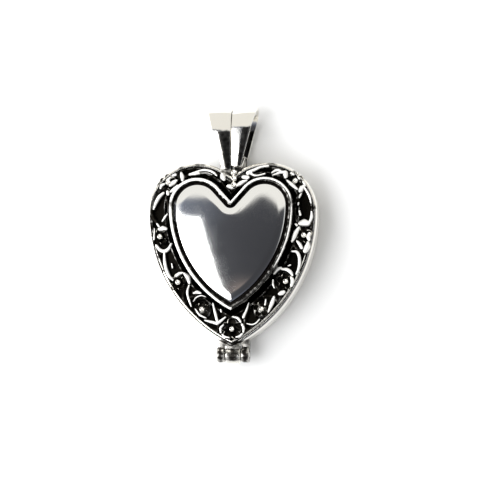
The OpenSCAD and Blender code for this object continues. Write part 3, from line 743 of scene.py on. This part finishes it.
# ---- Filigree border ----
# A pierced frame of rails, stems and blossoms, cast in silver-plated brass, blackened all over and
# polished back, so that its tops shine and its flanks and hollows stay black. It lies on the ground
# between rim and ridge.
FOOT_Z, STEM_H, STEM_W, RAIL_W = 3.63, 0.8, 0.42, 0.26
FRAME_GAP, RIDGE_SLOPE, SHORT = 0.06, 0.55, 0.1
STEM_POLISH, RAIL_DARK, RAIL_POLISH = 0.2, 0.05, 0.2
RAIL_WORN, WORN_FROM, WORN_OVER = 2.6, -4, 4
CREST_POWER, LEAST_CREST, FLANK_SHINE = 0.8, 0.1, 0.15
BLOSSOM_R, BLOSSOM_H, PIP_R, PIP_DENT = 1.1, 1.0, 0.36, 0.13
PETAL_SHARE, PETAL_TURN, PETAL_RIM, PETAL_DIP = 0.4, 18, 0.45, 0.42
RIM_SHINE, HOLLOW_DARK, NOTCH_FROM = 1.1, 1.9, -0.2
EYE_R, EYE_BLUR, EYE_H, SKIRT_OUT, SKIRT_DROP = 0.45, 0.05, 0.4, 1.03, 0.12
BOSS_R, BOSS_H, BOSS_POLISH = 1.3, 0.5, 0.3
SUNK = 0.02
STEM_Z, BASE_Z = FOOT_Z + STEM_H, FOOT_Z - SUNK


def ray_circle(way, centre, r):
    """Where rays from the border's centre leave a circle: the larger root of the ray's distance to
    it."""
    v = np.asarray(centre) - CENTRE
    b = way @ v
    return b + np.sqrt(np.maximum(b**2 - v @ v + r**2, 0))


def ray_heart(way, heart, inset):
    """Distance from the border's centre to a heart's outline along rays: the lobe's circle above the
    line through the lobes' centres, the long side's circle below it."""
    width, lobe, side, line, _ = heart
    to_lobe = ray_circle(way, (width / 2 - lobe, line), lobe - inset)
    to_side = ray_circle(way, (width / 2 - side, line), side - inset)
    return np.where(CENTRE[1] + to_lobe * way[:, 1] >= line, to_lobe, to_side)


def border(turn, across):
    """Points of the border by their turn from the cleft in degrees and their share of the way across
    it: along a ray, that share of the distance from the inner heart to the outer one."""
    turn, across = np.radians(np.asarray(turn, float)), np.asarray(across, float)
    way = np.stack([np.sin(np.abs(turn)), np.cos(turn)], 1)
    inner = ray_heart(way, PLATE, -RIDGE_SLOPE - FRAME_GAP)
    outer = ray_heart(way, BODY, RIM_W + FRAME_GAP)
    points = CENTRE + way * (inner + (outer - inner) * across)[:, None]
    return points * np.stack([np.where(turn < 0, -1, 1), np.ones_like(turn)], 1)


def wire(line, width, top=STEM_Z, polish=1.0):
    """A raised line cast on the ground: straight flanks with a rounded crest, carried along a line of
    points in X and Y. Its ends are rounded by letting the width go to nothing like a half circle."""
    line, width = np.asarray(line, float), np.broadcast_to(np.asarray(width, float), len(line))
    along = np.gradient(line, axis=0)
    along /= np.linalg.norm(along, axis=1)[:, None]
    out = np.sin(np.linspace(np.pi / 2, 0, 5)[:-1])
    thin = np.sqrt(np.clip(1 - out**2, 0, 1))
    before = line[0] - along[0] * (width[0] / 2) * out[:, None]
    behind = line[-1] + along[-1] * (width[-1] / 2) * out[::-1, None]
    line = np.concatenate([before, line, behind])
    width = np.concatenate([width[0] * thin, width, width[-1] * thin[::-1]])
    along = np.concatenate([np.repeat(along[:1], 4, 0), along, np.repeat(along[-1:], 4, 0)])
    across = np.stack([along[:, 1], -along[:, 0]], 1)
    a = np.linspace(0, np.pi, 9)
    u = np.concatenate([[1], np.sign(np.cos(a)) * np.abs(np.cos(a)) ** CREST_POWER, [-1]])
    crest_z = np.concatenate([[0], np.clip(np.sin(a), 0, 1) ** CREST_POWER, [0]])
    xy = line[:, None] + across[:, None] * (width[:, None] / 2 * u[None])[:, :, None]
    shoulder = top - max(width.max() / 2, LEAST_CREST)
    row = np.ones((len(line), 1))
    z = row * (shoulder + (top - shoulder) * crest_z)
    z[:, [0, -1]] = BASE_Z
    shine = FLANK_SHINE + (1 - FLANK_SHINE) * np.sin(a)
    shine = row * polish * np.concatenate([[0], shine, [0]])
    return np.concatenate([xy, z[:, :, None], shine[:, :, None]], 2), False, True


def bent(p, q, bow):
    """A line bent to an arc between two points: its height over the chord is a signed share of it."""
    t = np.linspace(0, 1, 14)[:, None]
    side = np.array([q[1] - p[1], p[0] - q[0]])
    return p + (q - p) * t - side * 4 * bow * t * (1 - t)


def rail(heart, inset, worn):
    """A rail that follows a heart's outline all round: flanks and a half-round crest, as on the stems.
    It is dark round the lobes, and worn bright by a share that grows towards the tip."""
    a, half = np.linspace(0, np.pi, 8), RAIL_W / 2
    arch = np.stack([inset + half * (1 - np.cos(a)), STEM_Z - half + half * np.sin(a),
                     RAIL_DARK + RAIL_POLISH * np.sin(a)], 1)
    grid = rings(heart, [(inset, BASE_Z, 0), *arch, (inset + RAIL_W, BASE_Z, 0)])
    to_tip = np.clip((WORN_FROM - grid[:, :, 1]) / WORN_OVER, 0, 1)
    grid[:, :, 3] *= 1 + RAIL_WORN * worn * to_tip
    return grid, True, True


def blossom(p, r, height):
    """Five cupped petals round a beaded eye.

    In polar form: the outline is the union of five circles round the middle. The height falls from
    each petal's raised rim to its hollow, and falls further in a ring round the bead.
    """
    p = np.asarray(p)
    a = np.linspace(0, 2 * np.pi, 80, endpoint=False)[None]
    off = (a - np.radians(PETAL_TURN) + np.pi / 5) % (2 * np.pi / 5) - np.pi / 5
    d, petal = r * (1 - PETAL_SHARE), r * PETAL_SHARE
    reach = d * np.cos(off) + np.sqrt(np.maximum(petal**2 - (d * np.sin(off)) ** 2, 0))
    rho = np.linspace(0, 1, 16)[:, None] * reach
    inside = 1 - np.hypot(rho * np.cos(off) - d, rho * np.sin(off)) / petal
    lip = np.clip(inside / PETAL_RIM, 0, 1)
    cup = 1 - PETAL_DIP * lip * lip * (3 - 2 * lip)
    ring = 1 / (1 + np.exp((rho / r - EYE_R) / EYE_BLUR))
    z = FOOT_Z + height * (cup * (1 - ring) + EYE_H * ring)
    shine = np.clip(RIM_SHINE - HOLLOW_DARK * lip, 0, 1) * (1 - ring) * (inside > NOTCH_FROM)
    top = np.stack([p[0] + rho * np.cos(a), p[1] + rho * np.sin(a), z, shine], 2)
    skirt = np.repeat(top[-1:], 3, 0)
    drawn = np.array([SKIRT_OUT, 1, 0])[:, None, None]
    skirt[:, :, :2] = p + (skirt[:, :, :2] - p) * drawn
    skirt[0, :, 2] -= SKIRT_DROP
    skirt[1:, :, 2] = BASE_Z
    skirt[:, :, 3] = 0
    return np.concatenate([top, skirt]), False, True


def boss(x, y):
    """A low round cushion on the ground: a ball's upper half pressed flat to a height, its lower half
    in the foot."""
    grid, *closed = bead(x, y, 0, BOSS_R)
    grid[:, :, 2] = BASE_Z + (BOSS_H + SUNK) * np.clip(grid[:, :, 2] / BOSS_R, 0, 1)
    grid[:, :, 3] = BOSS_POLISH
    return grid, *closed


# Stems by turn and share at both ends, and bow. Blossoms by turn, share across, size and height
STEMS = [
    (13, 0, 19, 1, 0.12), (20, 0, 44, 0.55, 0.2), (44, 0.9, 36, 0.05, -0.2),
    (56, 0.5, 66, 1, -0.15), (62, 0, 91, 0.5, 0.15), (86, 0, 78, 1, 0.12),
    (102, 0, 106, 1, 0.15), (106, 1, 130, 0.55, -0.18), (141, 0.1, 147, 1, -0.2),
    (147, 0.9, 153, 0.1, 0.2), (155, 1, 163, 0, 0.12), (167, 0, 172, 1, 0.1),
    (168, 1, 177, 0.5, -0.15)]
BLOSSOMS = [(52, 0.6, 1, 1), (93.5, 0.55, 1, 1), (133, 0.55, 1, 1), (159, 0.5, 0.9, 0.9)]
TIP_BLOSSOM, TIP_BLOSSOM_R = (0.05, -14.5), 1.42
parts = [rail(BODY, RIM_W + FRAME_GAP, 1.0), rail(PLATE, -RIDGE_SLOPE - FRAME_GAP - RAIL_W, 0.0)]
for side in (1, -1):
    for t0, a0, t1, a1, bow in STEMS:
        # A stem ends a little short of both rails' outer edges
        a0, a1 = ((1 - 2 * SHORT) * a + SHORT for a in (a0, a1))
        ends = border([side * t0, side * t1], [a0, a1])
        parts.append(wire(bent(*ends, -side * bow), STEM_W, polish=STEM_POLISH))
    for turn, across, size, height in BLOSSOMS:
        at = border([side * turn], [across])[0]
        pip = bead(*at, FOOT_Z + BLOSSOM_H * height - PIP_R / 4, PIP_R, PIP_DENT)
        parts += [blossom(at, BLOSSOM_R * size, BLOSSOM_H * height), pip]
    # The blossom next to the tip has a cushion under it
    parts.append(boss(*at))
pip = bead(*TIP_BLOSSOM, FOOT_Z + BLOSSOM_H - PIP_R / 4, PIP_R, PIP_DENT)
parts += [blossom(TIP_BLOSSOM, TIP_BLOSSOM_R, BLOSSOM_H), pip]
cast("filigree_border", parts, patina_and_shade_silver, "cover", "filigree")

# ---- Sprays on the border ----
# The leaves, tendrils and petal rims of the cast border that stand highest, so that wear and the
# polishing cloth have rubbed them to bare, satin silver. They differ from side to side, as modelled
# by hand.
STROKE_Z, STROKE_WIDER = 4.62, 1.35


def curve(points):
    """A smooth line through points: each stretch is a cubic whose ends run parallel to the line from
    the point before to the point after."""
    p = np.asarray(points, float)
    p = np.concatenate([2 * p[:1] - p[1:2], p, 2 * p[-1:] - p[-2:-1]])
    t = np.linspace(0, 1, 5, endpoint=False)[None, :, None]
    a, b, c, d = (p[i:len(p) - 3 + i, None] for i in range(4))
    bend, twist = 2 * a - 5 * b + 4 * c - d, 3 * b - a - 3 * c + d
    line = 0.5 * (2 * b + (c - a) * t + bend * t**2 + twist * t**3)
    return np.concatenate([line.reshape(-1, 2), p[-2:-1]])


def stroke(widths, points, top=STROKE_Z):
    """A raised stroke along a smooth line through points, whose width runs through a row of values."""
    line = curve(points)
    along = np.linspace(0, 1, len(line))
    return wire(line, STROKE_WIDER * np.interp(along, np.linspace(0, 1, len(widths)), widths), top)


# Widths along a stroke, the points that it runs through, and its top where it isn't the usual one
RIGHT_SPRAYS = [
    ([0.42, 0.3, 0.22, 0.18], [(2.1, 4.95), (2.9, 5.35), (3.7, 5.68), (4.6, 5.8)]),
    ([0.26, 0.2, 0.18, 0.16],
     [(2.5, 5.05), (2.55, 4.8), (2.95, 4.6), (3.5, 4.62), (4.2, 4.8)], 4.85),
    ([0.35, 0.4], [(1.5, 4.45), (2.0, 4.4)]),
    ([0.16, 0.24, 0.24, 0.14], [(5.1, 4.95), (5.5, 5.2), (5.9, 5.25), (6.3, 5.05)]),
    ([0.14, 0.2, 0.28, 0.3], [(5.2, 4.6), (5.6, 4.75), (6.2, 4.95), (6.7, 4.95)], 4.8),
    ([0.5, 0.45], [(6.75, 4.85), (6.8, 4.5)], 4.7),
    ([0.18, 0.22], [(7.5, 4.85), (7.75, 4.7)]),
    ([0.16, 0.2], [(8.35, 4.35), (8.5, 4.15)]),
    ([0.15, 0.18], [(8.95, 3.75), (9.12, 3.5)]),
    ([0.2, 0.34, 0.34, 0.2], [(7.0, 3.9), (7.4, 3.55), (7.8, 3.2), (8.2, 2.85)], 4.7),
    ([0.5, 0.45, 0.25], [(8.65, 2.75), (8.85, 3.05), (9.15, 3.3)]),
    ([0.14, 0.2, 0.22, 0.14], [(9.15, 3.0), (9.45, 2.5), (9.75, 1.9), (9.95, 1.1)]),
    ([0.12, 0.2, 0.14], [(8.75, 2.3), (8.6, 2.05), (8.5, 1.8)]),
    ([0.18, 0.14], [(8.38, 1.1), (8.34, 0.9)]),
    ([0.2, 0.22], [(8.5, 0.1), (8.6, -0.35)]),
    ([0.15, 0.28, 0.25, 0.15], [(10.0, 0.0), (10.02, -0.6), (9.8, -1.2), (9.5, -1.6)]),
    ([0.6, 0.75, 0.6], [(8.75, -1.4), (9.1, -1.35), (9.45, -1.4)]),
    ([0.22, 0.26], [(8.05, -1.55), (8.15, -1.65)]),
    ([0.25, 0.45, 0.4, 0.2], [(8.45, -2.0), (8.1, -2.55), (7.85, -3.15), (7.6, -3.7)], 4.95),
    ([0.35, 0.45, 0.3], [(9.75, -2.75), (9.6, -3.1), (9.7, -3.45)]),
    ([0.35, 0.6, 0.5], [(9.55, -3.9), (9.5, -4.3), (9.25, -4.8)]),
    ([0.2, 0.35, 0.3], [(8.2, -3.65), (8.5, -4.0), (8.75, -4.45)]),
    ([0.16, 0.26, 0.3, 0.3, 0.26, 0.18],
     [(7.6, -4.9), (8.1, -4.95), (8.42, -5.4), (8.5, -6.2), (8.4, -7.0), (8.1, -7.7)]),
    ([0.1, 0.14], [(7.1, -6.7), (7.35, -6.6)]),
    ([0.12, 0.16], [(4.3, -10.9), (4.2, -11.5)]),
    ([0.25, 0.38, 0.25], [(5.35, -7.6), (5.75, -7.1), (6.15, -6.95)]),
    ([0.22, 0.34, 0.34, 0.2], [(6.35, -7.1), (6.9, -7.15), (7.35, -7.45), (7.6, -7.85)]),
    ([0.12, 0.18, 0.12], [(5.2, -8.45), (5.2, -9.0), (5.35, -9.4)]),
    ([0.2, 0.4, 0.3], [(7.45, -8.2), (7.62, -8.6), (7.5, -9.1)]),
    ([0.35, 0.45, 0.35], [(6.05, -10.15), (6.3, -10.05), (6.5, -9.95)]),
    ([0.25, 0.4, 0.3, 0.15], [(5.3, -10.6), (5.1, -11.2), (4.85, -11.8), (4.6, -12.4)]),
    ([0.12, 0.2, 0.28], [(2.15, -11.3), (1.9, -12.1), (1.5, -13.0)]),
    ([0.1, 0.14, 0.14, 0.1], [(1.95, -13.85), (2.6, -13.95), (3.1, -13.75), (3.5, -13.3)]),
    ([0.15, 0.24, 0.2], [(0.2, -12.98), (0.8, -13.15), (1.15, -13.6)], 4.8),
    ([0.2, 0.24, 0.15], [(1.35, -13.95), (1.55, -14.4), (1.5, -14.9)], 4.8),
    ([0.15, 0.22, 0.12], [(1.35, -15.1), (1.0, -15.4), (0.6, -15.5)], 4.7)]
LEFT_SPRAYS = [
    ([0.12, 0.2, 0.2, 0.2, 0.15],
     [(-4.5, 5.2), (-3.6, 5.38), (-2.8, 5.3), (-2.25, 5.05), (-1.9, 4.7)]),
    ([0.06, 0.09, 0.06], [(-4.0, 5.02), (-3.1, 5.03), (-2.5, 4.82)], 4.5),
    ([0.25, 0.38, 0.25], [(-5.2, 4.85), (-4.6, 4.97), (-4.1, 4.97)], 4.75),
    ([0.25, 0.4, 0.3], [(-6.3, 5.0), (-6.2, 4.6), (-6.15, 4.2)], 4.7),
    ([0.2, 0.32, 0.2], [(-7.75, 4.5), (-8.05, 4.15), (-8.15, 3.75)]),
    ([0.3, 0.48, 0.3], [(-7.0, 4.1), (-7.35, 3.85), (-7.7, 3.55)]),
    ([0.25, 0.36, 0.32, 0.18], [(-8.6, 2.55), (-9.1, 2.1), (-9.5, 1.4), (-9.8, 0.6)]),
    ([0.25, 0.4, 0.25], [(-7.6, 2.75), (-7.1, 3.1), (-6.75, 3.45)], 4.75),
    ([0.3, 0.35], [(-8.05, 2.7), (-8.0, 2.5)]),
    ([0.22, 0.28], [(-7.4, 4.75), (-7.1, 4.85)]),
    ([0.2, 0.3, 0.2], [(-8.95, 3.2), (-8.8, 3.55), (-8.5, 3.7)]),
    ([0.16, 0.2], [(-9.35, -1.3), (-9.15, -1.6)]),
    ([0.1, 0.12], [(-7.5, -6.3), (-7.4, -6.8)]),
    ([0.08, 0.12, 0.12, 0.08],
     [(-4.75, -11.0), (-4.45, -10.55), (-3.8, -10.3), (-3.25, -10.45)], 4.5),
    ([0.16, 0.18], [(-1.35, -12.1), (-1.3, -12.3)], 4.5),
    ([0.14, 0.24, 0.14], [(-8.1, -0.1), (-8.4, -0.5), (-8.7, -0.95)]),
    ([0.35, 0.5, 0.35], [(-9.0, -1.95), (-8.65, -1.85), (-8.3, -1.9)]),
    ([0.22, 0.32, 0.36, 0.32, 0.22],
     [(-9.45, -4.0), (-9.0, -4.55), (-8.4, -4.72), (-7.9, -4.4), (-7.6, -3.85)]),
    ([0.1, 0.16], [(-9.7, -1.9), (-9.75, -3.2)]),
    ([0.2, 0.3, 0.32, 0.3, 0.2],
     [(-8.45, -5.0), (-8.4, -6.0), (-8.2, -7.0), (-7.85, -7.8), (-7.4, -8.3)]),
    ([0.2, 0.32, 0.2], [(-6.9, -7.85), (-6.6, -7.55), (-6.2, -7.45)]),
    ([0.25, 0.5, 0.35], [(-5.9, -7.55), (-5.5, -8.0), (-5.3, -8.6)]),
    ([0.14, 0.22, 0.2, 0.14],
     [(-5.3, -9.0), (-5.5, -9.6), (-5.5, -10.2), (-5.3, -10.9), (-5.05, -11.6)]),
    ([0.2, 0.35, 0.2], [(-4.7, -9.98), (-4.3, -9.88), (-3.9, -9.98)]),
    ([0.1, 0.18, 0.1], [(-4.5, -12.0), (-4.0, -12.7), (-3.2, -13.1)]),
    ([0.12, 0.24, 0.26], [(-2.3, -11.3), (-2.1, -12.2), (-1.8, -13.4)]),
    ([0.14, 0.26, 0.3], [(-3.3, -13.4), (-2.5, -13.6), (-1.75, -13.8)]),
    ([0.3, 0.24, 0.14], [(-1.75, -13.8), (-1.2, -13.4), (-0.75, -13.05)], 4.8),
    ([0.15, 0.22, 0.15], [(-1.0, -14.0), (-1.35, -14.4), (-1.3, -14.9)], 4.8),
    ([0.12, 0.18, 0.12], [(-1.15, -15.15), (-0.8, -15.45), (-0.3, -15.55)], 4.7),
    ([0.45, 0.6, 0.45], [(-1.15, 4.7), (-1.1, 4.5), (-1.0, 4.3)]),
    ([0.4, 0.55, 0.3], [(-0.35, 3.3), (0.1, 3.25), (0.5, 3.3)], 4.75),
    ([0.3, 0.42, 0.35, 0.2], [(0.8, 3.45), (1.15, 3.65), (1.5, 3.85), (1.9, 4.0)], 4.75)]
strokes = [stroke(*row) for row in RIGHT_SPRAYS + LEFT_SPRAYS]
cast("filigree_sprays", strokes, worn_silver, "cover", "filigree")
